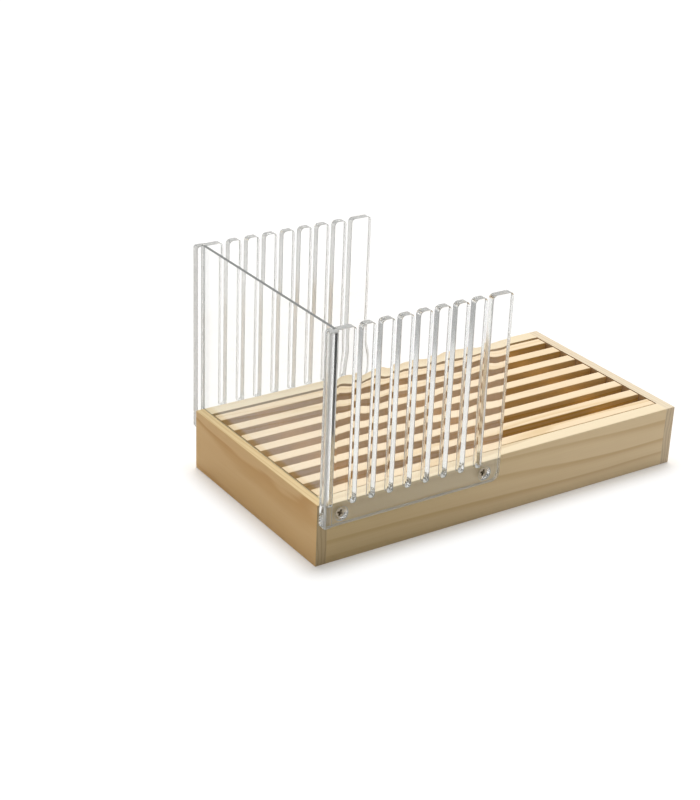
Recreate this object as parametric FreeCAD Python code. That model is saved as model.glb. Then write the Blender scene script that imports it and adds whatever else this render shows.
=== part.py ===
import FreeCAD, Part
import math
import os

# Bread slicer guide: a pine tray with a lift-out slatted rack over a crumb space, two clear combs that
# guide the knife, and a clear plate that stops the loaf. Millimetres. X runs along the tray with the end
# plate at the low end, Y runs across it from the front to the back, and Z is up. The origin is the middle
# of the tray's underside.

Vector = FreeCAD.Vector

# The pine tray
TRAY_LENGTH = 340.0
TRAY_WIDTH = 178.0
TRAY_HEIGHT = 50.0
RAIL_THICKNESS = 12.0
END_BOARD_THICKNESS = 9.0
WOOD_EDGE_ROUND = 0.8

# The panel that catches the crumbs, held in a groove all round
PANEL_THICKNESS = 4.0
PANEL_RAISE = 4.0                   # from the table to its underside
PANEL_TONGUE = 4.5                  # how far it reaches into each groove
PANEL_CLEARANCE = 0.1               # to each side of the groove, and at its bottom

# Blind dowels, two at each corner, from the end boards into the rails
DOWEL_RADIUS = 3.0
DOWEL_SKIN = 3.0                    # wood left between a dowel's end and the outside of the end board
DOWEL_IN_RAIL = 20.0
DOWEL_ABOVE_PANEL = 6.0             # from the panel's top to the low dowel's axis
DOWEL_BELOW_SCREW = 9.0             # from the guide screw's axis down to the high dowel's axis
DOWEL_CLEARANCE = 0.05

# The lift-out rack: slats along X on battens along Y
SLAT_COUNT = 8
SLAT_WIDTH = 10.0
SLAT_THICKNESS = 10.0
SLAT_EDGE_ROUND = 0.6
RACK_END_CLEARANCE = 1.0
RACK_FRONT_CLEARANCE = 0.8          # the rack lies against the front rail
RACK_BACK_CLEARANCE = 3.2
BATTEN_COUNT = 3
BATTEN_WIDTH = 18.0
BATTEN_THICKNESS = 8.0
BATTEN_INSET = 39.0                 # from the rack's end to the middle of its end batten

# The ledges that carry the battens
LEDGE_WIDTH = 9.0
LEDGE_HEIGHT = 8.0

# The brads, driven up through the battens into the slats
BRAD_RADIUS = 0.8
BRAD_HEAD_RADIUS = 1.5
BRAD_HEAD_THICKNESS = 0.6
BRAD_IN_SLAT = 6.0
BRAD_CLEARANCE = 0.05

# The clear combs
GUIDE_THICKNESS = 6.0
GUIDE_RISE = 135.0                  # above the tray's top
GUIDE_LAP = 17.0                    # down over the rail, from the tray's top
GUIDE_INSET = 1.5                   # from the tray's left face
GUIDE_HEAD_ROUND = 2.0              # the top left corner
GUIDE_HEEL_ROUND = 2.0              # the bottom left corner
GUIDE_TAIL_ROUND = 7.0              # the bottom right corner
SLOT_COUNT = 8
SLOT_WIDTH = 5.0
SLOT_PITCH = 15.875                 # one slice
SLOTS_FROM_LEFT = 24.8              # from the comb's left end to the first slot's middle
SLOTS_FROM_RIGHT = 21.0             # from the comb's right end to the last slot's middle
SLOT_BELOW_TRAY_TOP = 1.5
SLOT_FOOT_ROUND = 2.0
TINE_TIP_ROUND = 3.5

# The rib that stiffens the comb's left end
RIB_WIDTH = 7.0
RIB_PROUD = 2.0
RIB_EDGE_ROUND = 1.9

# The clear plate that the loaf is pushed against, and the groove for it in each comb
PLATE_THICKNESS = 2.5
PLATE_CORNER_ROUND = 1.0
GROOVE_DEPTH = 3.0
GROOVE_BELOW_TRAY_TOP = 1.0
PLATE_SIDE_CLEARANCE = 0.25         # to each wall of the groove
PLATE_EDGE_CLEARANCE = 0.25         # to the bottom of the groove

# The countersunk screws, two in each comb
SCREW_RADIUS = 2.1
SCREW_HEAD_RADIUS = 4.0
SCREW_TIP = 3.5
SCREW_SKIN = 1.8                    # wood left between the screw's tip and the inside of the rail
SCREW_SUNK = 1.8                    # head below the comb's face, in the mouth of its hole
SCREW_DROP = 8.0                    # from the tray's top to the screw's axis
SCREW_FROM_LEFT = 15.5              # from the comb's left end
SCREW_FROM_RIGHT = 14.5             # from the comb's right end
SCREW_HOLE_CLEARANCE = 0.3          # around the shank in the comb
PILOT_CLEARANCE = 0.05              # around the shank in the rail
RECESS_ARM_WIDTH = 1.1
RECESS_SPAN = 4.8
RECESS_DEPTH = 1.8

# What follows from the sizes above
tray_left = -TRAY_LENGTH / 2
tray_right = TRAY_LENGTH / 2
inner_left = tray_left + END_BOARD_THICKNESS
inner_right = tray_right - END_BOARD_THICKNESS
tray_front = -TRAY_WIDTH / 2
tray_back = TRAY_WIDTH / 2
inner_front = tray_front + RAIL_THICKNESS
inner_back = tray_back - RAIL_THICKNESS

rack_left = inner_left + RACK_END_CLEARANCE
rack_right = inner_right - RACK_END_CLEARANCE
rack_front = inner_front + RACK_FRONT_CLEARANCE
rack_back = inner_back - RACK_BACK_CLEARANCE
slat_step = (rack_back - rack_front - SLAT_WIDTH) / (SLAT_COUNT - 1)
slat_under = TRAY_HEIGHT - SLAT_THICKNESS
batten_under = slat_under - BATTEN_THICKNESS
batten_first = rack_left + BATTEN_INSET
batten_last = rack_right - BATTEN_INSET
batten_step = (batten_last - batten_first) / (BATTEN_COUNT - 1)

guide_left = tray_left + GUIDE_INSET
guide_right = guide_left + SLOTS_FROM_LEFT + (SLOT_COUNT - 1) * SLOT_PITCH + SLOTS_FROM_RIGHT
guide_under = TRAY_HEIGHT - GUIDE_LAP
guide_top = TRAY_HEIGHT + GUIDE_RISE
guide_face = tray_front - GUIDE_THICKNESS
slot_foot = TRAY_HEIGHT - SLOT_BELOW_TRAY_TOP
groove_width = PLATE_THICKNESS + 2 * PLATE_SIDE_CLEARANCE
plate_x = inner_left - PLATE_THICKNESS / 2

screw_xs = (guide_left + SCREW_FROM_LEFT, guide_right - SCREW_FROM_RIGHT)
screw_z = TRAY_HEIGHT - SCREW_DROP
screw_face = guide_face + SCREW_SUNK
screw_tip = inner_front - SCREW_SKIN

dowel_in_board = END_BOARD_THICKNESS - DOWEL_SKIN
dowel_heights = (PANEL_RAISE + PANEL_THICKNESS + DOWEL_ABOVE_PANEL, screw_z - DOWEL_BELOW_SCREW)
dowel_ys = (tray_front + RAIL_THICKNESS / 2, tray_back - RAIL_THICKNESS / 2)


def near(a, b):
    return abs(a - b) < 0.01


def box(low, high):
    """The solid box between two corners."""
    size = [b - a for a, b in zip(low, high)]
    return Part.makeBox(size[0], size[1], size[2], Vector(*low))


def rod(start, direction, radius, length):
    """A solid cylinder from a point along a direction."""
    return Part.makeCylinder(radius, length, Vector(*start), Vector(*direction))


def eased(solid, radius, wanted):
    """The solid with the straight edges that wanted(edge middle, edge direction) picks rounded off."""
    picked = []
    for edge in solid.Edges:
        if not isinstance(edge.Curve, Part.Line):
            continue
        start = edge.Vertexes[0].Point
        end = edge.Vertexes[-1].Point
        if wanted((start + end) * 0.5, (end - start).normalize()):
            picked.append(edge)
    return solid.makeFillet(radius, picked) if picked else solid


def rounded_face(corners):
    """A flat face at y = 0 through (x, z, corner radius) points, with an arc at each rounded corner."""
    edges = []
    count = len(corners)
    ends = []
    for i in range(count):
        x, z, radius = corners[i]
        here = Vector(x, 0, z)
        before = Vector(corners[i - 1][0], 0, corners[i - 1][1])
        after = Vector(corners[(i + 1) % count][0], 0, corners[(i + 1) % count][1])
        if radius == 0:
            ends.append((here, here, None))
            continue
        to_before = (before - here).normalize()
        to_after = (after - here).normalize()
        half = to_before.getAngle(to_after) / 2
        reach = radius / math.tan(half)
        middle_way = (to_before + to_after).normalize()
        crown = here + middle_way * (radius / math.sin(half) - radius)
        ends.append((here + to_before * reach, here + to_after * reach, crown))
    for i in range(count):
        start, end, crown = ends[i]
        if crown is not None:
            edges.append(Part.Arc(start, crown, end).toShape())
        next_start = ends[(i + 1) % count][0]
        if not near(end.distanceToPoint(next_start), 0):
            edges.append(Part.LineSegment(end, next_start).toShape())
    return Part.Face(Part.Wire(edges))


def rail(front):
    """One long rail, between the end boards, with its panel groove, dowel holes and screw pilots."""
    low_y = tray_front if front else inner_back
    outer_y = tray_front if front else tray_back
    middle_y = low_y + RAIL_THICKNESS / 2
    inward = 1 if front else -1
    body = box((inner_left, low_y, 0), (inner_right, low_y + RAIL_THICKNESS, TRAY_HEIGHT))
    body = eased(body, WOOD_EDGE_ROUND, lambda at, way: near(abs(way.x), 1) and near(at.y, outer_y))
    body = body.cut(panel_groove())
    dowel_bore = DOWEL_RADIUS + DOWEL_CLEARANCE
    for x, inward_x in ((inner_left, 1), (inner_right, -1)):
        for z in dowel_heights:
            body = body.cut(rod((x, middle_y, z), (inward_x, 0, 0), dowel_bore, DOWEL_IN_RAIL))
    pilot_bore = SCREW_RADIUS + PILOT_CLEARANCE
    for x in screw_xs:
        body = body.cut(rod((x, outer_y, screw_z), (0, inward, 0), pilot_bore, screw_tip - tray_front))
    return body


def end_board(left):
    """One end board, across the whole tray, with its panel groove and dowel holes."""
    low_x = tray_left if left else inner_right
    outer_x = tray_left if left else tray_right
    inner_x = inner_left if left else inner_right
    outward = -1 if left else 1
    body = box((low_x, tray_front, 0), (low_x + END_BOARD_THICKNESS, tray_back, TRAY_HEIGHT))

    def outer_edge(at, way):
        return near(at.x, outer_x) or (near(abs(way.x), 1) and abs(at.y) > inner_back)

    body = eased(body, WOOD_EDGE_ROUND, outer_edge)
    body = body.cut(panel_groove())
    dowel_bore = DOWEL_RADIUS + DOWEL_CLEARANCE
    for y in dowel_ys:
        for z in dowel_heights:
            body = body.cut(rod((inner_x, y, z), (outward, 0, 0), dowel_bore, dowel_in_board))
    return body


def panel_groove():
    """The groove's hollow, as one block that the rails and boards are cut with."""
    reach = PANEL_TONGUE + PANEL_CLEARANCE
    return box((inner_left - reach, inner_front - reach, PANEL_RAISE - PANEL_CLEARANCE),
               (inner_right + reach, inner_back + reach, PANEL_RAISE + PANEL_THICKNESS + PANEL_CLEARANCE))


def bottom_panel():
    return box((inner_left - PANEL_TONGUE, inner_front - PANEL_TONGUE, PANEL_RAISE),
               (inner_right + PANEL_TONGUE, inner_back + PANEL_TONGUE, PANEL_RAISE + PANEL_THICKNESS))


def corner_dowels():
    dowels = []
    length = dowel_in_board + DOWEL_IN_RAIL
    for x in (inner_left - dowel_in_board, inner_right - DOWEL_IN_RAIL):
        for y in dowel_ys:
            for z in dowel_heights:
                dowels.append(rod((x, y, z), (1, 0, 0), DOWEL_RADIUS, length))
    return Part.makeCompound(dowels)


def ledge(front):
    """A strip glued to the inside of a rail, on which the battens' ends rest."""
    low_y = inner_front if front else inner_back - LEDGE_WIDTH
    low_z = batten_under - LEDGE_HEIGHT
    return box((inner_left, low_y, low_z), (inner_right, low_y + LEDGE_WIDTH, batten_under))


def slat_y(index):
    """The middle of a slat, counted from the front."""
    return rack_front + SLAT_WIDTH / 2 + index * slat_step


def batten_x(index):
    return batten_first + index * batten_step


def slat(index):
    low_y = slat_y(index) - SLAT_WIDTH / 2
    body = box((rack_left, low_y, slat_under), (rack_right, low_y + SLAT_WIDTH, TRAY_HEIGHT))
    body = eased(body, SLAT_EDGE_ROUND, lambda at, way: near(at.z, TRAY_HEIGHT))
    for j in range(BATTEN_COUNT):
        body = body.cut(rod((batten_x(j), slat_y(index), slat_under), (0, 0, 1),
                            BRAD_RADIUS + BRAD_CLEARANCE, BRAD_IN_SLAT))
    return body


def batten(index):
    middle = batten_x(index)
    body = box((middle - BATTEN_WIDTH / 2, rack_front, batten_under),
               (middle + BATTEN_WIDTH / 2, rack_back, slat_under))
    for i in range(SLAT_COUNT):
        foot = (middle, slat_y(i), batten_under)
        body = body.cut(rod(foot, (0, 0, 1), BRAD_RADIUS + BRAD_CLEARANCE, BATTEN_THICKNESS))
        body = body.cut(rod(foot, (0, 0, 1), BRAD_HEAD_RADIUS + BRAD_CLEARANCE, BRAD_HEAD_THICKNESS))
    return body


def rack_brads():
    brads = []
    for j in range(BATTEN_COUNT):
        for i in range(SLAT_COUNT):
            foot = (batten_x(j), slat_y(i), batten_under)
            shank = rod(foot, (0, 0, 1), BRAD_RADIUS, BATTEN_THICKNESS + BRAD_IN_SLAT)
            head = rod(foot, (0, 0, 1), BRAD_HEAD_RADIUS, BRAD_HEAD_THICKNESS)
            brads.append(shank.fuse(head).removeSplitter())
    return Part.makeCompound(brads)


def mirrored(shape):
    """The same shape on the other long side of the tray."""
    return shape.mirror(Vector(0, 0, 0), Vector(0, 1, 0))


def front_screw(x):
    """A countersunk wood screw with a cross recess, driven along +Y through the front comb."""
    head_depth = SCREW_HEAD_RADIUS - SCREW_RADIUS
    profile = [(0, screw_face), (SCREW_HEAD_RADIUS, screw_face), (SCREW_RADIUS, screw_face + head_depth),
               (SCREW_RADIUS, screw_tip - SCREW_TIP), (0, screw_tip)]
    points = [Vector(x + radius, y, screw_z) for radius, y in profile]
    outline = Part.makePolygon(points + [points[0]])
    body = Part.Face(outline).revolve(Vector(x, 0, screw_z), Vector(0, 1, 0), 360)
    span = RECESS_SPAN / 2
    arm = RECESS_ARM_WIDTH / 2
    for half_x, half_z in ((span, arm), (arm, span)):
        body = body.cut(box((x - half_x, screw_face, screw_z - half_z),
                            (x + half_x, screw_face + RECESS_DEPTH, screw_z + half_z)))
    return body


def guide_screws(front):
    """The two screws of one comb; those at the back are the front ones mirrored."""
    screws = Part.makeCompound([front_screw(x) for x in screw_xs])
    return screws if front else mirrored(screws)


def screw_hole(x):
    """The hole in the front comb: a clear hole for the shank and a cone that the head seats in."""
    hole_radius = SCREW_RADIUS + SCREW_HOLE_CLEARANCE
    mouth_radius = SCREW_HEAD_RADIUS + SCREW_SUNK
    mouth = Vector(x, guide_face, screw_z)
    along = Vector(0, 1, 0)
    cone = Part.makeCone(mouth_radius, hole_radius, mouth_radius - hole_radius, mouth, along)
    return Part.makeCylinder(hole_radius, GUIDE_THICKNESS, mouth, along).fuse(cone)


def comb_sheet():
    """The flat comb: a sheet with slots open at the top, each foot and each tine's tip rounded."""
    corners = [(guide_left, guide_under, GUIDE_HEEL_ROUND), (guide_left, guide_top, GUIDE_HEAD_ROUND)]
    for i in range(SLOT_COUNT):
        middle = guide_left + SLOTS_FROM_LEFT + i * SLOT_PITCH
        left = middle - SLOT_WIDTH / 2
        right = middle + SLOT_WIDTH / 2
        corners += [(left, guide_top, TINE_TIP_ROUND), (left, slot_foot, SLOT_FOOT_ROUND)]
        corners += [(right, slot_foot, SLOT_FOOT_ROUND), (right, guide_top, TINE_TIP_ROUND)]
    corners += [(guide_right, guide_top, TINE_TIP_ROUND), (guide_right, guide_under, GUIDE_TAIL_ROUND)]
    sheet = rounded_face(corners).extrude(Vector(0, GUIDE_THICKNESS, 0))
    sheet.translate(Vector(0, guide_face, 0))
    return sheet


def comb_rib():
    """The rib on the outside of the comb's left end, with its two outer edges rounded."""
    right = guide_left + RIB_WIDTH
    outer = guide_face - RIB_PROUD
    corners = [(guide_left, guide_under, GUIDE_HEEL_ROUND), (guide_left, guide_top, GUIDE_HEAD_ROUND),
               (right, guide_top, GUIDE_HEAD_ROUND), (right, guide_under, GUIDE_HEEL_ROUND)]
    rib = rounded_face(corners).extrude(Vector(0, RIB_PROUD, 0))
    rib.translate(Vector(0, outer, 0))
    return eased(rib, RIB_EDGE_ROUND, lambda at, way: near(abs(way.z), 1) and near(at.y, outer))


def front_comb():
    """The front guide: the comb and its rib in one piece, grooved for the end plate and drilled."""
    comb = comb_sheet().fuse(comb_rib()).removeSplitter()
    groove_left = plate_x - groove_width / 2
    comb = comb.cut(box((groove_left, tray_front - GROOVE_DEPTH, TRAY_HEIGHT - GROOVE_BELOW_TRAY_TOP),
                        (groove_left + groove_width, tray_front, guide_top)))
    for x in screw_xs:
        comb = comb.cut(screw_hole(x))
    return comb


def end_plate():
    """The clear plate that stands on the left end board, with its side edges in the combs' grooves."""
    half_width = TRAY_WIDTH / 2 + GROOVE_DEPTH - PLATE_EDGE_CLEARANCE
    low_x = plate_x - PLATE_THICKNESS / 2
    body = box((low_x, -half_width, TRAY_HEIGHT), (low_x + PLATE_THICKNESS, half_width, guide_top))
    return eased(body, PLATE_CORNER_ROUND, lambda at, way: near(abs(way.x), 1))


def write(name, shape):
    """Writes one node's STEP file, and stops if a solid in it is broken."""
    for solid in shape.Solids:
        if not solid.isValid() or solid.Volume <= 0:
            raise ValueError(name + " holds a broken solid")
    shape.exportStep("parts/" + name + ".step")
    print(name, len(shape.Solids), round(shape.Volume, 1))


def main():
    os.makedirs("parts", exist_ok=True)
    write("front_rail", rail(True))
    write("back_rail", rail(False))
    write("left_end_board", end_board(True))
    write("right_end_board", end_board(False))
    write("bottom_panel", bottom_panel())
    write("corner_dowels", corner_dowels())
    write("front_ledge", ledge(True))
    write("back_ledge", ledge(False))
    for i in range(SLAT_COUNT):
        write("slat_%d" % (i + 1), slat(i))
    for j in range(BATTEN_COUNT):
        write("rack_batten_%d" % (j + 1), batten(j))
    write("rack_brads", rack_brads())
    comb = front_comb()
    write("front_guide", comb)
    write("back_guide", mirrored(comb))
    write("end_plate", end_plate())
    write("front_guide_screws", guide_screws(True))
    write("back_guide_screws", guide_screws(False))


main()
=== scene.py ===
# %% [markdown]
# # A bread slicer guide
# A loaf lies on a slatted rack in a shallow pine tray. Two clear combs are screwed to the tray's
# long sides, and their slots lead the knife, so that every slice has the same thickness. A clear
# plate at the left end is what the loaf is pushed against.
# The wooden pieces and the brads keep their CAD meshes and get their finish here. The clear
# pieces and the screws are built again with bmesh, because clear plastic and bright metal show
# each edge, and a real edge is never sharp.

# %% Load the frame
import math

import bmesh
import bpy
from mathutils import Matrix, Vector


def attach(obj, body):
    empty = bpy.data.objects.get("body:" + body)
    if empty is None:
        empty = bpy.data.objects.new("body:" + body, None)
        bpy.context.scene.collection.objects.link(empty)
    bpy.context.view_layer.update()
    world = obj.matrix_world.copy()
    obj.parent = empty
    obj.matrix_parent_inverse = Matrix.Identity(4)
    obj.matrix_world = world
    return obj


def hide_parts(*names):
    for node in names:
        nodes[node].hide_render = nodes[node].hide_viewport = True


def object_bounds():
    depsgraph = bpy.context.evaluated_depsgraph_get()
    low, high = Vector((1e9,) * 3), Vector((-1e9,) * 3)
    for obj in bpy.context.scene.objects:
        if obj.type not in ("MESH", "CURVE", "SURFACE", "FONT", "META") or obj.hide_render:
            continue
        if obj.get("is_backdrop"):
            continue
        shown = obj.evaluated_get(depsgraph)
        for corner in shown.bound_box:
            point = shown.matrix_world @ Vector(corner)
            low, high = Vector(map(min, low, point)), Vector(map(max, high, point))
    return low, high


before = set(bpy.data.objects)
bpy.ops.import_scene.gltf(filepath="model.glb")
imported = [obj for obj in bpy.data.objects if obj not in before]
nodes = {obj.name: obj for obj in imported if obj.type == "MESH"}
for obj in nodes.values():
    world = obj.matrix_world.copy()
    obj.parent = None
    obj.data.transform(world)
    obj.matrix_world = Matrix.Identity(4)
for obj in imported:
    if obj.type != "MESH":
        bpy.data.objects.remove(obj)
cad_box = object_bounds()
MM = 0.001

# %% [markdown]
# ## The camera
# The object is seen from the front left and a little above, as a cook sees it on the worktop.
# A long lens from more than a metre away keeps the tray's edges nearly parallel. A camera can be
# aimed with a Track To constraint, but a matrix made from three angles also holds the slight
# roll, and it stays the same when something else in the scene moves.

# %% Set up the camera
CAMERA_AT = Vector((-759.6, -993.8, 638.5)) * MM
CAMERA_TURN = 0.5961
CAMERA_DIP = 0.4376
CAMERA_ROLL = 0.04143
CAMERA_LENS = 78.4
CAMERA_SENSOR = 36.0
NEAREST, FARTHEST = 0.05, 50.0

ahead = Vector((math.sin(CAMERA_TURN) * math.cos(CAMERA_DIP),
                math.cos(CAMERA_TURN) * math.cos(CAMERA_DIP), -math.sin(CAMERA_DIP)))
level = Vector((math.cos(CAMERA_TURN), -math.sin(CAMERA_TURN), 0))
upright = level.cross(ahead)
side = level * math.cos(CAMERA_ROLL) + upright * math.sin(CAMERA_ROLL)
top = upright * math.cos(CAMERA_ROLL) - level * math.sin(CAMERA_ROLL)

camera = bpy.data.objects.new("camera", bpy.data.cameras.new("camera"))
camera.data.lens = CAMERA_LENS
camera.data.sensor_width = CAMERA_SENSOR
camera.data.clip_start = NEAREST
camera.data.clip_end = FARTHEST
turned = Matrix((side, top, -ahead)).transposed().to_4x4()
camera.matrix_world = Matrix.Translation(CAMERA_AT) @ turned
bpy.context.scene.collection.objects.link(camera)
bpy.context.scene.camera = camera
print("camera at", [round(c, 3) for c in camera.matrix_world.translation])

# %% [markdown]
# ## Shader maths
# A finish is a small network of nodes. Wiring it socket by socket hides the idea, so a class
# wraps a number that varies over the surface, and plain Python signs on it add Math nodes.
# Every other node comes from one method, which takes the node's type, its settings, and the
# values or links of its sockets.

# %% A value that varies


def sign(operation):
    """A sign and its reflected form, so that 1 - mask works as well as mask - 1."""
    def plain(value, other):
        return value.finish.node("ShaderNodeMath", {"operation": operation}, {0: value, 1: other})

    def reflected(value, other):
        return value.finish.node("ShaderNodeMath", {"operation": operation}, {0: other, 1: value})

    return plain, reflected


class Varying:
    """A number or colour that changes over a surface. Signs on it add Math nodes."""

    def __init__(self, finish, socket):
        self.finish = finish
        self.socket = socket

    __add__, __radd__ = sign("ADD")
    __sub__, __rsub__ = sign("SUBTRACT")
    __mul__, __rmul__ = sign("MULTIPLY")
    __truediv__, __rtruediv__ = sign("DIVIDE")
    __pow__, __rpow__ = sign("POWER")

    def __abs__(self):
        return self.finish.node("ShaderNodeMath", {"operation": "ABSOLUTE"}, {0: self})


print("five signs and abs() add Math nodes")

# %% A finish


class Finish:
    """One node network, of a material or of the world."""

    def __init__(self, owner):
        owner.use_nodes = True
        self.owner = owner
        self.tree = owner.node_tree
        self.tree.nodes.clear()

    def node(self, kind, settings=None, inputs=None, out=0):
        """Adds a node and gives one of its outputs, or the node itself where it has none."""
        made = self.tree.nodes.new(kind)
        for name, value in (settings or {}).items():
            setattr(made, name, value)
        for name, value in (inputs or {}).items():
            if isinstance(value, Varying):
                self.tree.links.new(value.socket, made.inputs[name])
            else:
                made.inputs[name].default_value = value
        return Varying(self, made.outputs[out]) if made.outputs else made

    def axis(self, vector, index):
        """One of the three numbers of a place or a direction."""
        return self.node("ShaderNodeSeparateXYZ", None, {"Vector": vector}, out=index)

    def noise(self, place, scale, detail=2.0, roughness=0.5):
        """Noise from 0 to 1 whose grain is 1/scale metres long on each axis."""
        stretched = self.node("ShaderNodeMapping", None, {"Vector": place, "Scale": scale})
        return self.node("ShaderNodeTexNoise", None, {
            "Vector": stretched, "Scale": 1.0, "Detail": detail, "Roughness": roughness})

    def step(self, value, low, high):
        """Rises smoothly from 0 at low to 1 at high."""
        return self.node("ShaderNodeMapRange", {"interpolation_type": "SMOOTHSTEP"},
                         {"Value": value, "From Min": low, "From Max": high})

    def blend(self, share, first, second, way="MIX"):
        """A colour between first and second, or with way MULTIPLY first dyed by second."""
        return self.node("ShaderNodeMix", {"data_type": "RGBA", "blend_type": way},
                         {0: share, 6: first, 7: second}, out=2)

    def mix(self, share, first, second):
        """A shader between first and second."""
        return self.node("ShaderNodeMixShader", None, {0: share, 1: first, 2: second})

    def surface(self, shader, kind="ShaderNodeOutputMaterial"):
        """Ends the network with this shader, and gives the material or world."""
        self.node(kind, None, {"Surface": shader})
        return self.owner


print("a finish can", ", ".join(name for name in vars(Finish) if not name.startswith("_")))

# %% Colours


def linear(red, green, blue):
    """A colour on a screen's scale, 0 to 255, as the light that nodes work in."""
    def channel(value):
        share = value / 255
        return share / 12.92 if share <= 0.04045 else ((share + 0.055) / 1.055) ** 2.4
    return tuple(channel(c) for c in (red, green, blue)) + (1.0,)


print("middle grey of a screen is", round(linear(128, 128, 128)[0], 3), "of white's light")

# %% [markdown]
# ## Floor and light
# The object stands in a bright studio on a white sheet. One broad lamp high up and a little
# behind lights the top faces, and the sheet throws that light back on the sides, so the sides
# are darker than the tops. A sun lamp with a wide angle lights floor near and far alike, which
# an area lamp can't. The camera, mirrors and clear plastic see a white room, and the floor is
# lifted towards white for the camera while it keeps part of the shadow.
# Clear plastic on pure white vanishes. In a studio the white sheet ends some way in front of the
# object, so that the plastic's edges mirror the darker room beyond it. Here only rays that have
# been mirrored see the end of the sheet, which Light Path's Glossy Depth tells.

# %% Tell the rays apart
WHITE = (1, 1, 1, 1)
WHITE_LEVEL = 1.12


def seen_ray(finish, kinds):
    """1 for rays of these kinds, which show a picture of the white room, else 0."""
    found = [finish.node("ShaderNodeLightPath", out="Is " + kind + " Ray") for kind in kinds]
    largest = found[0]
    for other in found[1:]:
        largest = finish.node("ShaderNodeMath", {"operation": "MAXIMUM"}, {0: largest, 1: other})
    return largest


print("the room is seen at level", WHITE_LEVEL)

# %% The sheet's finish
PAPER = linear(246, 243, 238), linear(250, 247, 242)
PAPER_GRAIN = (3.0, 3.0, 3.0)
TRAY_HALF = (0.17, 0.089, 0.0)
LIFT_REACH = (-0.004, 0.024)
NEAR_LIFT = 0.2
FLOOR_LIFT = 0.8
SHEET_END = (0.31, 0.40)
MIRRORED = (0.2, 0.8)
ROOM_TONE = 0.42


def sheet_finish():
    """Paper that is lifted towards white, less so beside the tray, and ends in a darker room."""
    finish = Finish(bpy.data.materials.new("studio_sheet"))
    place = finish.node("ShaderNodeTexCoord", out="Object")
    cloud = finish.noise(place, PAPER_GRAIN)
    paper = finish.node("ShaderNodeBsdfDiffuse", None, {"Color": finish.blend(cloud, *PAPER)})

    def lamp(level):
        return finish.node("ShaderNodeEmission", None, {"Color": WHITE, "Strength": level})

    def vector(operation, *values, out=0):
        return finish.node("ShaderNodeVectorMath", {"operation": operation},
                           dict(enumerate(values)), out)

    past_tray = vector("SUBTRACT", vector("ABSOLUTE", place), TRAY_HALF)
    distance = vector("LENGTH", vector("MAXIMUM", past_tray, (0.0, 0.0, 0.0)), out="Value")
    lift = NEAR_LIFT + finish.step(distance, *LIFT_REACH) * (FLOOR_LIFT - NEAR_LIFT)
    lift = seen_ray(finish, ("Camera", "Transmission")) * lift
    lifted = finish.mix(lift, paper, lamp(WHITE_LEVEL))
    forward = finish.axis(place, 1) * -1.0
    bounces = finish.node("ShaderNodeLightPath", out="Glossy Depth")
    beyond = finish.step(forward, *SHEET_END) * finish.step(bounces, *MIRRORED)
    return finish.surface(finish.mix(beyond, lifted, lamp(ROOM_TONE)))


studio_sheet = sheet_finish()
print("the sheet's finish has", len(studio_sheet.node_tree.nodes), "nodes")

# %% Lay the sheet
FLOOR_RADIUS = 9.0
FLOOR_SIDES = 64


def linked(name, data):
    """An object in the scene."""
    made = bpy.data.objects.new(name, data)
    bpy.context.scene.collection.objects.link(made)
    return made


def meshed(name, bm, finish):
    """Turns a bmesh into an object that sits at the origin."""
    mesh = bpy.data.meshes.new(name)
    bm.to_mesh(mesh)
    bm.free()
    mesh.materials.append(finish)
    return linked(name, mesh)


sheet = bmesh.new()
bmesh.ops.create_circle(sheet, cap_ends=True, segments=FLOOR_SIDES, radius=FLOOR_RADIUS)
floor = meshed("floor", sheet, studio_sheet)
floor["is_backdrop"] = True
print("a sheet of", FLOOR_RADIUS, "m radius")

# %% The room and how it is shown
WORLD_LEVEL = 0.34
WORLD_TINT = (1.0, 0.96, 0.9, 1)


def room_finish():
    """A soft light for surfaces, and a white room for what mirrors or shows it."""
    finish = Finish(bpy.data.worlds.new("studio"))
    seen = seen_ray(finish, ("Camera", "Glossy", "Transmission"))
    strength = WORLD_LEVEL + seen * (WHITE_LEVEL - WORLD_LEVEL)
    tint = finish.blend(seen, WORLD_TINT, WHITE)
    room = finish.node("ShaderNodeBackground", None, {"Color": tint, "Strength": strength})
    return finish.surface(room, "ShaderNodeOutputWorld")


scene = bpy.context.scene
scene.world = room_finish()
scene.view_settings.view_transform = "Standard"
print("the room lights surfaces at level", WORLD_LEVEL)

# %% The sun, and how often light may bounce
SUN_LEVEL = 2.45
SUN_ANGLE = 48
SUN_FROM = Vector((0.25, 0.42, 1.0))
LIGHT_BOUNCES = 32
CLEAR_BOUNCES = 24

sun = linked("sun", bpy.data.lights.new("sun", "SUN"))
sun.data.energy = SUN_LEVEL
sun.data.angle = math.radians(SUN_ANGLE)
sun.rotation_mode = "QUATERNION"
sun.rotation_quaternion = SUN_FROM.to_track_quat("Z", "Y")

scene.cycles.max_bounces = LIGHT_BOUNCES
scene.cycles.glossy_bounces = CLEAR_BOUNCES
scene.cycles.transmission_bounces = CLEAR_BOUNCES
scene.cycles.transparent_max_bounces = LIGHT_BOUNCES
print("sun from", [round(c, 2) for c in SUN_FROM.normalized()])

# %% [markdown]
# ## Wood
# The tray is pine. A board is cut from a log, so its streaks are the log's yearly rings, cut
# lengthways: pale spring wood that darkens to a thin line of late wood and starts again. A Wave
# texture can draw rings too, but it bends them with one noise. Here a ring is the fraction of a
# distance from the log's heart, and two noises that are stretched along the grain bend it. On
# the cut ends the same rings show as arcs, darker and duller. Made from Object coordinates, the
# pattern runs through the solid, so it meets at the edges as in real wood.
# Upright faces are painted deeper in colour than the tops, as painted shade, and the front is
# painted darker towards the left, as painted shade where less light comes back from the sheet.
# Both are part of the recipe, because the wide lamp gives all of the front the same light.

# %% The yearly rings
RING_WANDER = 0.030
RING_RIPPLE = 0.003
LATE_WOOD = (0.5, 0.9, 1.0)
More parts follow.
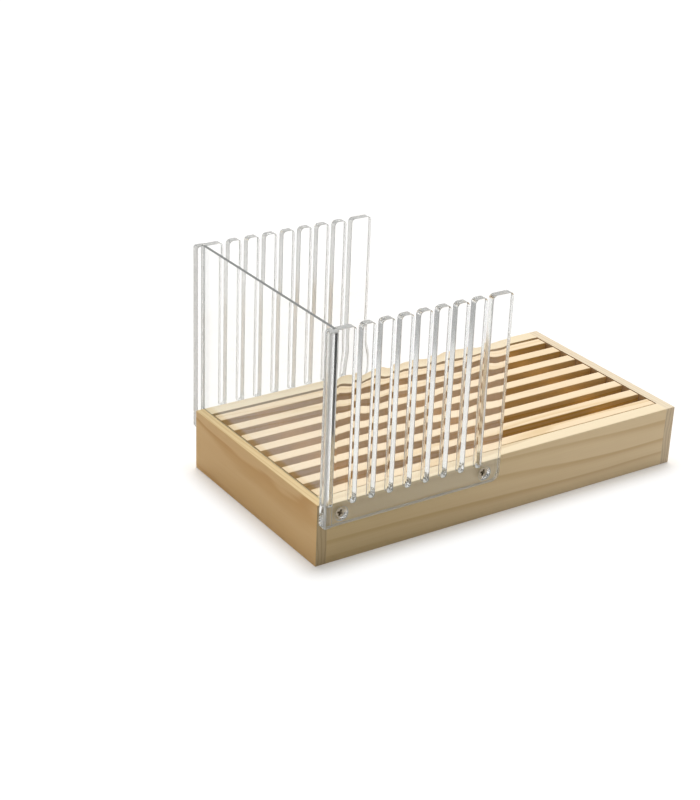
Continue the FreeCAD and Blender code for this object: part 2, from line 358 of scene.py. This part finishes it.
# Each noise is a scale along the grain, a scale across it, a detail, and where needed a roughness.
WANDER_NOISE = (2.2, 16.0, 1.0)
RIPPLE_NOISE = (9.0, 60.0, 2.0)


def grained(finish, place, grain, lengthways, crossways, detail, roughness=0.5):
    """Noise that is stretched along the grain, which runs along axis 0 or 1."""
    scale = [crossways] * 3
    scale[grain] = lengthways
    return finish.noise(place, tuple(scale), detail, roughness)


def late_wood(finish, place, grain, heart, ring):
    """1 on the dark line that ends each ring. heart is the log's middle on the other two axes."""
    offset_a = finish.axis(place, 1 - grain) - heart[0]
    offset_b = finish.axis(place, 2) - heart[1]
    radius = (offset_a * offset_a + offset_b * offset_b) ** 0.5
    wander = grained(finish, place, grain, *WANDER_NOISE) - 0.5
    ripple = grained(finish, place, grain, *RIPPLE_NOISE) - 0.5
    years = (radius + wander * RING_WANDER + ripple * RING_RIPPLE) / ring
    season = finish.node("ShaderNodeMath", {"operation": "FRACT"}, {0: years})
    starts, full, ends = LATE_WOOD
    return finish.step(season, starts, full) * (1 - finish.step(season, full, ends))


print("rings wander by up to", RING_WANDER / 2, "m")

# %% A recipe for wood
STRENGTH_NOISE = (1.5, 30.0, 0.0)
FIBRE_NOISE = (14.0, 1500.0, 3.0, 0.65)
BLOTCH_NOISE = (4.0, 26.0, 2.0)
PORE_SCALE = (1100.0, 1100.0, 1100.0)
STRONG_YEAR = (0.3, 0.75)
FAINTEST_YEAR = 0.25
BASE_SHARE = 0.12
UPRIGHT = (0.4, 0.9)
END_ON = (0.75, 0.95)
END_RINGS = 0.6
PAINTED_LIGHT_ACROSS = (-0.1, 0.1)
# Painted shade that darkens the front towards the left: where it runs, and its tone.
PAINTED_SHADE_ACROSS = (-0.20, 0.14)
PAINTED_SHADE_TONE = (0.70, 0.66, 0.54, 1)
RAISED_FIBRE = 0.7
GRAIN_RELIEF = {"Strength": 0.35, "Distance": 0.00012}
PLANED_ROUGH = 0.46
FIBRE_ROUGH = 0.14
SAWN_ROUGH = 0.15
WOOD_SHINE = 0.35


def timber(name, grain, heart, pale, deep, end, ring=0.007, figure=0.5, fibre=0.22, blotch=0.4,
           side=0.15, painted_shade=None, painted_light=None):
    """Wood whose grain runs along axis 0 or 1. Upright faces are painted deeper by side, as
    painted shade. Given a tone, the front is painted darker towards the left, also as painted
    shade. A board on the right can be painted paler, as painted light."""
    finish = Finish(bpy.data.materials.new(name))
    place = finish.node("ShaderNodeTexCoord", out="Object")
    facing = finish.node("ShaderNodeTexCoord", out="Normal")
    late = late_wood(finish, place, grain, heart, ring)
    strong = finish.step(grained(finish, place, grain, *STRENGTH_NOISE), *STRONG_YEAR)
    streak = late * (FAINTEST_YEAR + strong * (1 - FAINTEST_YEAR))
    fibres = grained(finish, place, grain, *FIBRE_NOISE)
    cloud = grained(finish, place, grain, *BLOTCH_NOISE)
    # Painted shade: upright faces are pushed towards the deep colour by side.
    flank = 1 - finish.step(abs(finish.axis(facing, 2)), *UPRIGHT)
    share = streak * figure + (fibres - 0.5) * fibre + (cloud - 0.5) * blotch
    share = finish.node("ShaderNodeClamp", None, {"Value": share + flank * side + BASE_SHARE})
    # Painted light: the board on the right is painted paler, as if in stronger light.
    if painted_light:
        pale = finish.blend(finish.step(finish.axis(place, 0), *PAINTED_LIGHT_ACROSS), pale, painted_light)
    colour = finish.blend(share, pale, deep)

    endways = finish.step(abs(finish.axis(facing, grain)), *END_ON)
    sawn = late * END_RINGS + finish.noise(place, PORE_SCALE, 2.0) * (1 - END_RINGS)
    colour = finish.blend(endways, colour, finish.blend(sawn, *end))
    # Painted shade: the front faces, and the end boards' cut ends, are made darker towards the
    # left.
    if painted_shade:
        front = endways if grain == 1 else flank
        left = 1 - finish.step(finish.axis(place, 0), *PAINTED_SHADE_ACROSS)
        colour = finish.blend(front * left, colour, painted_shade, "MULTIPLY")

    relief = fibres * RAISED_FIBRE + late * (1 - RAISED_FIBRE)
    return finish.surface(finish.node("ShaderNodeBsdfPrincipled", None, {
        "Base Color": colour,
        "Roughness": PLANED_ROUGH + fibres * FIBRE_ROUGH + endways * SAWN_ROUGH,
        "Normal": finish.node("ShaderNodeBump", None, {**GRAIN_RELIEF, "Height": relief}),
        "Specular IOR Level": WOOD_SHINE}))


print("fibres are", round(FIBRE_NOISE[1] / FIBRE_NOISE[0]), "times as long as they are wide")

# %% The woods of this object
# side paints shade on upright faces. The slats' sides, which fill the gaps, get the most.
rail_pine = timber(
    "rail_pine", grain=0, heart=(0.035, -0.105),
    pale=linear(247, 231, 198), deep=linear(196, 164, 114),
    end=(linear(220, 200, 170), linear(186, 158, 126)),
    ring=0.0115, figure=0.36, blotch=0.3, side=0.27, painted_shade=PAINTED_SHADE_TONE)
slat_pine = timber(
    "slat_pine", grain=0, heart=(-0.02, -0.35),
    pale=linear(250, 228, 194), deep=linear(204, 162, 76),
    end=(linear(224, 190, 144), linear(186, 146, 100)),
    ring=0.004, figure=0.3, side=0.55)
board_pine = timber(
    "board_pine", grain=1, heart=(-0.235, 0.03),
    pale=linear(240, 213, 162), deep=linear(190, 139, 72),
    end=(linear(218, 202, 174), linear(184, 162, 136)),
    ring=0.0032, figure=0.35, side=0.4, painted_shade=PAINTED_SHADE_TONE, painted_light=linear(236, 224, 198))
batten_pine = timber(
    "batten_pine", grain=1, heart=(0.4, -0.1),
    pale=linear(238, 210, 154), deep=linear(200, 160, 94),
    end=(linear(208, 182, 148), linear(176, 146, 112)),
    ring=0.005, figure=0.4)
print("four pines ready")

# %% The rest of the woods
panel_wood = timber(
    "panel_plywood", grain=0, heart=(0.0, -1.2),
    pale=linear(226, 194, 132), deep=linear(190, 152, 86),
    end=(linear(196, 166, 128), linear(150, 118, 84)),
    ring=0.011, figure=0.6)
dowel_wood = timber(
    "dowel_beech", grain=0, heart=(0.3, 0.1),
    pale=linear(222, 186, 148), deep=linear(188, 146, 106),
    end=(linear(198, 160, 122), linear(160, 122, 88)),
    ring=0.002, figure=0.3)
# Each wood covers the nodes whose names start so.
WOODS = {
    "front_rail": rail_pine, "back_rail": rail_pine, "front_ledge": rail_pine,
    "back_ledge": rail_pine, "left_end_board": board_pine, "right_end_board": board_pine,
    "bottom_panel": panel_wood, "corner_dowels": dowel_wood, "slat_": slat_pine,
    "rack_batten_": batten_pine,
}


def covered(name, finish):
    """Gives a node of the frame its finish."""
    for held in nodes[name].material_slots:
        held.material = finish


wooden = {name: wood for start, wood in WOODS.items() for name in nodes if name.startswith(start)}
for name, wood in wooden.items():
    covered(name, wood)
print("wooden nodes", len(wooden))

# %% [markdown]
# ## Metal
# The screws and brads are plated steel. One grey with full Metallic would be an even mirror, and
# plating isn't: it is a little uneven and worn. So fine noise changes its roughness and height,
# and coarser noise its tone, and the metal reflects the white room and the dark wood.

# %% Plated steel
FINE_GRAIN = (900.0, 900.0, 900.0)
WORN_PATCHES = (260.0, 260.0, 260.0)
WORN = 0.72
DIMPLES = {"Strength": 0.15, "Distance": 0.00005}
UNEVEN = 0.12


def plated_steel(name, tone, rough):
    """Plating of one tone, a little darker where it is worn."""
    finish = Finish(bpy.data.materials.new(name))
    place = finish.node("ShaderNodeTexCoord", out="Object")
    cloud = finish.noise(place, FINE_GRAIN, 3.0)
    wear = finish.noise(place, WORN_PATCHES, 1.0)
    colour = finish.blend(wear, tone, tuple(c * WORN for c in tone[:3]) + (1.0,))
    bump = finish.node("ShaderNodeBump", None, {**DIMPLES, "Height": cloud})
    return finish.surface(finish.node("ShaderNodeBsdfPrincipled", None, {
        "Base Color": colour, "Metallic": 1.0, "Roughness": rough + cloud * UNEVEN,
        "Normal": bump}))


screw_steel = plated_steel("screw_steel", linear(176, 166, 150), 0.2)
brad_steel = plated_steel("brad_steel", linear(196, 192, 184), 0.3)
covered("rack_brads", brad_steel)
print("steel ready")

# %% [markdown]
# ## Clear acrylic
# Acrylic is nearly colourless, with a refractive index of 1.49. What makes it visible is its
# edges, where light is trapped and comes out grey or white. Its broad faces are as smooth as the
# mould or the rollers left them. The edges were polished, which leaves them slightly hazy. Their
# darker tint and the grey lines of the arrises are partly that haze and partly painted shade.
# Glass all over would be simpler, but it throws a dark shadow, and its edges vanish against
# white. In a real room acrylic throws hardly any shadow, so lamp rays and the light between
# other surfaces pass straight through.
# One recipe serves both sheets. It tells a broad face, a cut edge, an arris and the cone of a
# screw hole apart by where the surface faces, and each gets its own share of a dull diffuse
# layer. The far comb's slot walls are a little milky and give off a faint painted glow, or they
# would mirror nothing but the brown slats.

# %% Tell the cut faces apart
EDGE_ON = (0.80, 0.97)
ARRIS_FROM = (0.05, 0.3)
ARRIS_TO = (0.93, 0.995)
CONE_ON = (0.3, 0.5)
SKIN_BLEND = 0.1 * MM
FACING_UP = (0.5, 0.9)


def cut_faces(finish, place, facing, across, skins):
    """Masks of the arrises, of all cut edges, and of those that look up. A slanting face whose
    depth is between the two skins isn't an arris but the cone of a hole."""
    square_on = abs(finish.axis(facing, across))
    depth = abs(finish.axis(place, across))
    near, far = skins
    past_near = finish.step(depth, near, near + SKIN_BLEND)
    inner = past_near * (1 - finish.step(depth, far - SKIN_BLEND, far))
    arris = finish.step(square_on, *ARRIS_FROM) * (1 - finish.step(square_on, *ARRIS_TO))
    cone = finish.step(square_on, *CONE_ON) * inner
    edge = (1 - finish.step(square_on, *EDGE_ON)) * (1 - cone)
    cap = finish.step(finish.axis(facing, 2), *FACING_UP) * edge
    return arris * (1 - inner), edge, cap


arris_turn = math.degrees(math.acos(ARRIS_TO[0]))
print("a face that has turned by", round(arris_turn), "degrees is an arris")

# %% The clear finish
REFRACTION = 1.49
RISING = (0.02, 0.2)
FAR_SIDE = (0.0, 0.01)
HAZE_SCALE = (120.0, 120.0, 60.0)
HAZY = (0.3, 0.9)
EDGE_ROUGH = 0.10
HAZE_ROUGH = 0.14
FACE_ROUGH = 0.01
SWELL_SCALE = (60.0, 60.0, 45.0)
ARRIS_FROST_AND_SHADE = 0.55
MILKY = 0.38
MILKY_TONE = (0.88, 0.88, 0.89, 1)
# Painted glow of the far comb's slot walls.
PAINTED_GLOW = (0.10, 0.105, 0.115, 1)
BLACK = (0.0, 0.0, 0.0, 1)
LAMP_WAY = (0.885, 0.90, 0.895, 1)


def clear_acrylic(name, across, skins, tint, edge_tint, arris_tint, cut_tone, frost_and_shade, cap_frost,
                  wave=0.0, clear_ends=False, milky_far_walls_painted_glow=False):
    """Clear sheet whose broad faces look along axis across. Its cut edges are duller and tinted
    darker, and the arrises, where a broad face turns into an edge, show as thin grey lines: partly
    haze, partly painted shade. With clear_ends, only edges that look up or down are dull."""
    finish = Finish(bpy.data.materials.new(name))
    place = finish.node("ShaderNodeTexCoord", out="Object")
    facing = finish.node("ShaderNodeTexCoord", out="Normal")
    arris, edge, cap = cut_faces(finish, place, facing, across, skins)
    dull = edge
    if clear_ends:
        rising = finish.step(abs(finish.axis(facing, 2)), *RISING)
        arris, dull = arris * rising, edge * rising

    haze = finish.noise(place, HAZE_SCALE, 2.0)
    smooth = finish.step(haze, *HAZY) * FACE_ROUGH
    swell = finish.noise(place, SWELL_SCALE, 0.0)
    surface = {
        # Cut edges and arrises are tinted darker: partly haze, partly painted shade.
        "Base Color": finish.blend(arris, finish.blend(dull, tint, edge_tint), arris_tint),
        "Roughness": edge * (EDGE_ROUGH + haze * HAZE_ROUGH) + smooth,
        "IOR": REFRACTION, "Transmission Weight": 1.0,
        "Normal": finish.node("ShaderNodeBump", None, {
            "Strength": 1.0, "Distance": wave, "Height": swell}),
    }
    if milky_far_walls_painted_glow:
        behind = finish.step(finish.axis(place, 1), *FAR_SIDE)
        far_wall = edge * (1 - cap) * (1 - arris) * behind
        # Painted glow: the far walls give off a faint light of their own.
        surface["Emission Color"] = finish.blend(far_wall, BLACK, PAINTED_GLOW)
        surface["Emission Strength"] = 1.0
    solid = finish.node("ShaderNodeBsdfPrincipled", None, surface)
    cut = finish.node("ShaderNodeBsdfDiffuse", None, {"Color": cut_tone})
    # A dull grey layer on cut edges and arrises, partly haze and partly painted shade.
    solid = finish.mix(dull * frost_and_shade + arris * ARRIS_FROST_AND_SHADE + cap * cap_frost, solid, cut)
    if milky_far_walls_painted_glow:
        milky = finish.node("ShaderNodeBsdfDiffuse", None, {"Color": MILKY_TONE})
        solid = finish.mix(far_wall * MILKY, solid, milky)

    open_way = finish.node("ShaderNodeBsdfTransparent", None, {"Color": LAMP_WAY})
    for kind in ("Diffuse", "Shadow"):
        ray = finish.node("ShaderNodeLightPath", out="Is " + kind + " Ray")
        solid = finish.mix(ray, solid, open_way)
    return finish.surface(solid)


# The comb's arrises are painted grey, as painted shade.
guide_acrylic = clear_acrylic(
    "guide_acrylic", across=1, skins=(0.0895, 0.0945),
    tint=(0.995, 0.997, 0.996, 1), edge_tint=(0.93, 0.94, 0.935, 1),
    arris_tint=(0.55, 0.56, 0.56, 1), cut_tone=(0.6, 0.61, 0.61, 1),
    frost_and_shade=0.06, cap_frost=0.45, wave=0.00022, milky_far_walls_painted_glow=True)
# The plate's edges are painted dark grey, as painted shade: a dark line along its rim.
plate_acrylic = clear_acrylic(
    "plate_acrylic", across=0, skins=(0.1613, 0.1632),
    tint=(0.99, 0.993, 0.991, 1), edge_tint=(0.30, 0.31, 0.31, 1),
    arris_tint=(0.28, 0.29, 0.29, 1), cut_tone=(0.27, 0.28, 0.28, 1),
    frost_and_shade=0.8, cap_frost=0.2, clear_ends=True)
for plastic in (guide_acrylic, plate_acrylic):
    print(plastic.name, len(plastic.node_tree.nodes), "nodes")

# %% [markdown]
# ## The combs
# Each comb is one moulded sheet of clear plastic, 6 mm thick, with eight slots open at the top.
# It could be drawn as one long outline, but a row of columns says what it is: the base is one
# row of faces, and only the columns between the slots are raised to the top. Pushing the
# flat shape back in two steps leaves the groove for the end plate open, and pushing the left
# strip forward makes the rib. Sizes here are in millimetres and scaled at the end.

# %% Sizes of a comb
COMB_LEFT = -168.5
COMB_RIGHT = -11.575
COMB_FOOT = 33.0
COMB_TOP = 185.0
COMB_OUTSIDE = -95.0
# A film of air keeps the plastic's inner face and the rail out of one plane.
AIR_FILM = 0.05
COMB_INSIDE = -89.0 - AIR_FILM
SLOT_COUNT = 8
SLOT_FIRST = -143.7
SLOT_PITCH = 15.875
SLOT_WIDTH = 5.0
SLOT_FOOT = 48.5
RIB_RIGHT = -161.5
RIB_FACE = -97.0
GROOVE_LEFT = -163.75
GROOVE_RIGHT = -160.75
GROOVE_FOOT = 49.0
GROOVE_BOTTOM = -92.0
SCREW_XS = (-153.0, -26.075)
SCREW_Z = 42.0
# Places nearer than TOUCH count as one, and so do faces that turn by less than FLAT.
TOUCH = 0.01
FLAT = math.radians(1)
slot_middles = [SLOT_FIRST + i * SLOT_PITCH for i in range(SLOT_COUNT)]
slot_walls = [m + s * SLOT_WIDTH / 2 for m in slot_middles for s in (-1, 1)]
print("slots from", slot_walls[0], "to", round(slot_walls[-1], 2))

# %% Raise the columns


def in_slot(x):
    """Whether a place along the comb is inside one of the slots."""
    return any(abs(x - m) < SLOT_WIDTH / 2 for m in slot_middles)


def middle(part):
    """The middle of an edge or face."""
    return sum((v.co for v in part.verts), Vector()) / len(part.verts)


def raised(bm, edges, height):
    """Draws a row of edges up to a height, and gives the new top edges."""
    made = bmesh.ops.extrude_edge_only(bm, edges=edges)["geom"]
    corners = {g for g in made if isinstance(g, bmesh.types.BMVert)}
    for corner in corners:
        corner.co.z = height
    return [g for g in made if isinstance(g, bmesh.types.BMEdge) and corners.issuperset(g.verts)]


def pushed(bm, faces, y):
    """Pushes faces to a depth, and gives the faces that moved."""
    edges = list(dict.fromkeys(e for f in faces for e in f.edges))
    made = bmesh.ops.extrude_face_region(bm, geom=faces + edges)["geom"]
    for corner in (g for g in made if isinstance(g, bmesh.types.BMVert)):
        corner.co.y = y
    return [g for g in made if isinstance(g, bmesh.types.BMFace)]


def comb_blank():
    """The comb with square corners."""
    bm = bmesh.new()
    stations = [COMB_LEFT, GROOVE_LEFT, RIB_RIGHT, GROOVE_RIGHT, *slot_walls, COMB_RIGHT]
    row = [bm.verts.new((x, COMB_OUTSIDE, COMB_FOOT)) for x in stations]
    edges = [bm.edges.new(pair) for pair in zip(row, row[1:])]
    edges = raised(bm, edges, SLOT_FOOT)
    edges = raised(bm, [e for e in edges if not in_slot(middle(e).x)], GROOVE_FOOT)
    raised(bm, edges, COMB_TOP)
    skin = list(bm.faces)
    back = pushed(bm, skin, GROOVE_BOTTOM)
    groove = [f for f in back
              if GROOVE_LEFT < middle(f).x < GROOVE_RIGHT and middle(f).z > GROOVE_FOOT]
    pushed(bm, [f for f in back if f not in groove], COMB_INSIDE)
    bmesh.ops.recalc_face_normals(bm, faces=bm.faces)
    strip = [f for f in bm.faces if f.normal.y < -0.5 and abs(middle(f).y - COMB_OUTSIDE) < TOUCH
             and middle(f).x < RIB_RIGHT]
    pushed(bm, strip, RIB_FACE)
    bmesh.ops.dissolve_limit(bm, angle_limit=FLAT, verts=bm.verts, edges=bm.edges)
    return bm


blank = comb_blank()
print("blank of", len(blank.faces), "faces")
blank.free()

# %% Round its corners
SLOT_FOOT_ROUND = 2.0
TINE_TIP_ROUND = 3.5
TAIL_ROUND = 7.0
END_ROUND = 2.0
RIB_EDGE_ROUND = 1.9
SMALL_ARC, TIP_ARC, TAIL_ARC = 5, 8, 12


def rounded(bm, edges, radius, segments):
    """Rounds edges with an arc of so many segments."""
    bmesh.ops.bevel(bm, geom=edges, offset=radius, offset_type="OFFSET", segments=segments,
                    profile=0.5, affect="EDGES", material=-1)


def through_edges(bm, places):
    """The edges that run through the thickness at these places of the outline."""
    found = []
    for edge in bm.edges:
        first, second = (v.co for v in edge.verts)
        crosswise = abs(first.x - second.x) + abs(first.z - second.z) < TOUCH
        if crosswise and any(abs(first.x - x) + abs(first.z - z) < 2 * TOUCH for x, z in places):
            found.append(edge)
    return found


def comb_body():
    """The comb with its corners rounded as the mould rounds them."""
    bm = comb_blank()
    feet = [(x, SLOT_FOOT) for x in slot_walls]
    tips = [(x, COMB_TOP) for x in slot_walls + [COMB_RIGHT]]
    tail = [(COMB_RIGHT, COMB_FOOT)]
    ends = [(x, z) for x in (COMB_LEFT, RIB_RIGHT) for z in (COMB_FOOT, COMB_TOP)]
    for places, radius, segments in (
            (feet, SLOT_FOOT_ROUND, SMALL_ARC), (tips, TINE_TIP_ROUND, TIP_ARC),
            (tail, TAIL_ROUND, TAIL_ARC), (ends, END_ROUND, SMALL_ARC)):
        rounded(bm, through_edges(bm, places), radius, segments)
    rim = [e for e in bm.edges if all(abs(v.co.y - RIB_FACE) < TOUCH for v in e.verts)]
    rounded(bm, rim, RIB_EDGE_ROUND, SMALL_ARC)
    return bm


body = comb_body()
print("rounded comb of", len(body.faces), "faces")
body.free()

# %% [markdown]
# ## The screw holes
# Each comb has two countersunk holes. A Boolean could cut them, but it leaves long thin
# triangles. Here a square window is cut in the front face and in the back face. Its edges are
# drawn inwards to the round mouth, down the cone and through to the far side, like the hoops of
# a barrel, and welded to the far window's hoop.

# %% Open the holes
HOLE_RADIUS = 2.4
MOUTH_RADIUS = 5.8
WINDOW_HALF = 5.95
WINDOW_CUTS = 7
WELD = 0.002


def window(bm, x, y):
    """Cuts a square out of the flat face at depth y and gives its edges, divided."""
    at = Vector((x, y, SCREW_Z))

    def face_here():
        return next(f for f in bm.faces if abs(middle(f).y - y) < TOUCH and abs(f.normal.y) > 0.99
                    and bmesh.geometry.intersect_face_point(f, at))

    for way in (Vector((1, 0, 0)), Vector((-1, 0, 0)), Vector((0, 0, 1)), Vector((0, 0, -1))):
        face = face_here()
        bmesh.ops.bisect_plane(bm, geom=[face, *face.edges, *face.verts],
                               plane_co=at + way * WINDOW_HALF, plane_no=way)
    face = face_here()
    edges = list(face.edges)
    bmesh.ops.delete(bm, geom=[face], context="FACES_ONLY")
    bmesh.ops.subdivide_edges(bm, edges=edges, cuts=WINDOW_CUTS)
    return [e for e in bm.edges if e.is_boundary and abs(middle(e).y - y) < TOUCH]


def hoop(bm, ring, x, y, radius):
    """Draws a ring of edges to a circle at depth y, and gives the new ring."""
    made = bmesh.ops.extrude_edge_only(bm, edges=ring)["geom"]
    drawn = [g for g in made if isinstance(g, bmesh.types.BMVert)]
    for v in drawn:
        out = Vector((v.co.x - x, 0, v.co.z - SCREW_Z)).normalized() * radius
        v.co = Vector((x + out.x, y, SCREW_Z + out.z))
    return [g for g in made
            if isinstance(g, bmesh.types.BMEdge) and all(v in drawn for v in g.verts)]


def drilled(bm):
    """Opens both screw holes. Each is welded before the next window looks for open edges."""
    cone_foot = COMB_OUTSIDE + MOUTH_RADIUS - HOLE_RADIUS
    for x in SCREW_XS:
        hoop(bm, window(bm, x, COMB_INSIDE), x, COMB_INSIDE, HOLE_RADIUS)
        ring = hoop(bm, window(bm, x, COMB_OUTSIDE), x, COMB_OUTSIDE, MOUTH_RADIUS)
        ring = hoop(bm, ring, x, cone_foot, HOLE_RADIUS)
        hoop(bm, ring, x, COMB_INSIDE, HOLE_RADIUS)
        bmesh.ops.remove_doubles(bm, verts=bm.verts, dist=WELD)
    bmesh.ops.recalc_face_normals(bm, faces=bm.faces)


print("a hole of radius", HOLE_RADIUS, "opens to a mouth of radius", MOUTH_RADIUS)

# %% Finish both combs
COMB_POLISH = 0.45
POLISH_ARC = 3
SHARP = math.radians(40)


def sharp_edges(bm):
    """The edges that turn by more than SHARP."""
    return [e for e in bm.edges if e.is_manifold and e.calc_face_angle() > SHARP]


def shaded(piece):
    """Smooth shading in which large flat faces stay flat and cut rims stay crisp."""
    bm = bmesh.new()
    bm.from_mesh(piece.data)
    for face in bm.faces:
        face.smooth = True
    for edge in sharp_edges(bm):
        edge.smooth = False
    bm.to_mesh(piece.data)
    bm.free()
    weighted = piece.modifiers.new("flat_faces", "WEIGHTED_NORMAL")
    weighted.keep_sharp = True
    return piece


def placed(bm, front):
    """Turns millimetres into metres, and mirrors what belongs at the back."""
    bmesh.ops.scale(bm, vec=(MM, MM if front else -MM, MM), verts=bm.verts)
    bmesh.ops.recalc_face_normals(bm, faces=bm.faces)


def comb(name, front):
    """A comb with polished edges, which the clamp keeps inside its height."""
    bm = comb_body()
    rounded(bm, sharp_edges(bm), COMB_POLISH, POLISH_ARC)
    for v in bm.verts:
        v.co.z = min(max(v.co.z, COMB_FOOT), COMB_TOP)
    drilled(bm)
    placed(bm, front)
    open_edges = [e for e in bm.edges if not e.is_manifold]
    print(name, len(bm.faces), "faces, open edges", len(open_edges))
    return shaded(meshed(name, bm, guide_acrylic))


for front in (True, False):
    side_name = "front" if front else "back"
    piece = comb(side_name + "_comb", front)
    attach(piece, "base")
    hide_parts(side_name + "_guide")

# %% [markdown]
# ## The end plate
# The plate is cut from thinner clear sheet. It stands in the two grooves and lifts out for
# cleaning. A cube stretched to its size has the right six faces already: the four corners that
# a hand meets are rounded, and the polish does the rest.

# %% Make the end plate
PLATE_LEFT = -163.5
PLATE_RIGHT = -161.0
PLATE_REACH = 91.75
PLATE_FOOT = 50.0
PLATE_CORNER = 1.0
PLATE_CORNER_ARC = 4
PLATE_POLISH = 0.25

bm = bmesh.new()
bmesh.ops.create_cube(bm, size=1.0)
size = Vector((PLATE_RIGHT - PLATE_LEFT, PLATE_REACH * 2, COMB_TOP - PLATE_FOOT))
bmesh.ops.scale(bm, vec=size, verts=bm.verts)
centre = Vector(((PLATE_LEFT + PLATE_RIGHT) / 2, 0, (COMB_TOP + PLATE_FOOT) / 2))
bmesh.ops.translate(bm, vec=centre, verts=bm.verts)
corners = [e for e in bm.edges if abs(e.verts[0].co.x - e.verts[1].co.x) > 1]
rounded(bm, corners, PLATE_CORNER, PLATE_CORNER_ARC)
rounded(bm, sharp_edges(bm), PLATE_POLISH, POLISH_ARC)
bmesh.ops.scale(bm, vec=(MM, MM, MM), verts=bm.verts)
plate = shaded(meshed("clear_end_plate", bm, plate_acrylic))
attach(plate, "end_plate")
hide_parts("end_plate")
print("end plate", [round(c / MM, 2) for c in plate.dimensions])

# %% [markdown]
# ## The screws
# Each comb is held by two countersunk wood screws with a cross recess. The recess starts as a
# grid of nine faces: the five that form a cross are sunk and narrowed. The square round them is
# then drawn out ring by ring, round the head, down the cone and along the shank to the tip,
# which a lathe would do the other way round.

# %% Make the screws
SCREW_FACE = -93.2
RECESS_HALF_SPAN = 2.6
RECESS_HALF_ARM = 0.9
RECESS_DEPTH = 2.4
RECESS_TAPER = 0.5
RECESS_TURN = math.radians(22)
# Each ring is a radius and a depth under the head's face.
SCREW_RINGS = ((3.5, 0.0), (3.75, 0.05), (3.8, 0.18), (2.1, 1.9), (2.1, 10.9), (1.2, 12.8),
               (0.25, 14.4))


def recess(bm):
    """A cross sunk in a square of nine faces, round the Y axis. Gives the square's outer edges."""
    upended = Matrix.Rotation(math.pi / 2, 4, "X")
    grid = bmesh.ops.create_grid(bm, x_segments=3, y_segments=3, size=1.0, matrix=upended)["verts"]
    for v in grid:
        across, up = (math.copysign(RECESS_HALF_SPAN if abs(c) > 0.5 else RECESS_HALF_ARM, c)
                      for c in (v.co.x, v.co.z))
        v.co = Vector((across, 0, up))
    arms = [f for f in bm.faces if min(abs(middle(f).x), abs(middle(f).z)) < TOUCH]
    rim = [e for e in bm.edges if e.is_boundary]
    bottom = pushed(bm, arms, RECESS_DEPTH)
    for v in dict.fromkeys(v for f in bottom for v in f.verts):
        v.co.x *= RECESS_TAPER
        v.co.z *= RECESS_TAPER
    bmesh.ops.subdivide_edges(bm, edges=rim, cuts=2)
    return [e for e in bm.edges if e.is_boundary]


def screw(x):
    """One screw of the front comb, in millimetres."""
    bm = bmesh.new()
    ring = recess(bm)
    place = Matrix.Translation((x, SCREW_FACE, SCREW_Z)) @ Matrix.Rotation(RECESS_TURN, 4, "Y")
    bmesh.ops.transform(bm, matrix=place, verts=bm.verts)
    for radius, depth in SCREW_RINGS:
        ring = hoop(bm, ring, x, SCREW_FACE + depth, radius)
    bmesh.ops.edgeloop_fill(bm, edges=ring)
    return bm


def screw_pair(name, front):
    """The two screws of a comb in one mesh."""
    bm = bmesh.new()
    for x in SCREW_XS:
        part = screw(x)
        loose = bpy.data.meshes.new("loose")
        part.to_mesh(loose)
        part.free()
        bm.from_mesh(loose)
        bpy.data.meshes.remove(loose)
    placed(bm, front)
    return shaded(meshed(name, bm, screw_steel))


for front in (True, False):
    side_name = "front" if front else "back"
    pair = screw_pair(side_name + "_screws", front)
    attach(pair, "base")
    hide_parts(side_name + "_guide_screws")
    print(pair.name, len(pair.data.polygons), "faces")

# %% [markdown]
# ## The size of the whole
# The dressed object has to be as large as the frame that it stands on. Both boxes are printed,
# so that they can be compared.

# %% Print the sizes
visual_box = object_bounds()
for title, (low, high) in (("cad", cad_box), ("visual", visual_box)):
    print(title, [round(c, 4) for c in high - low])
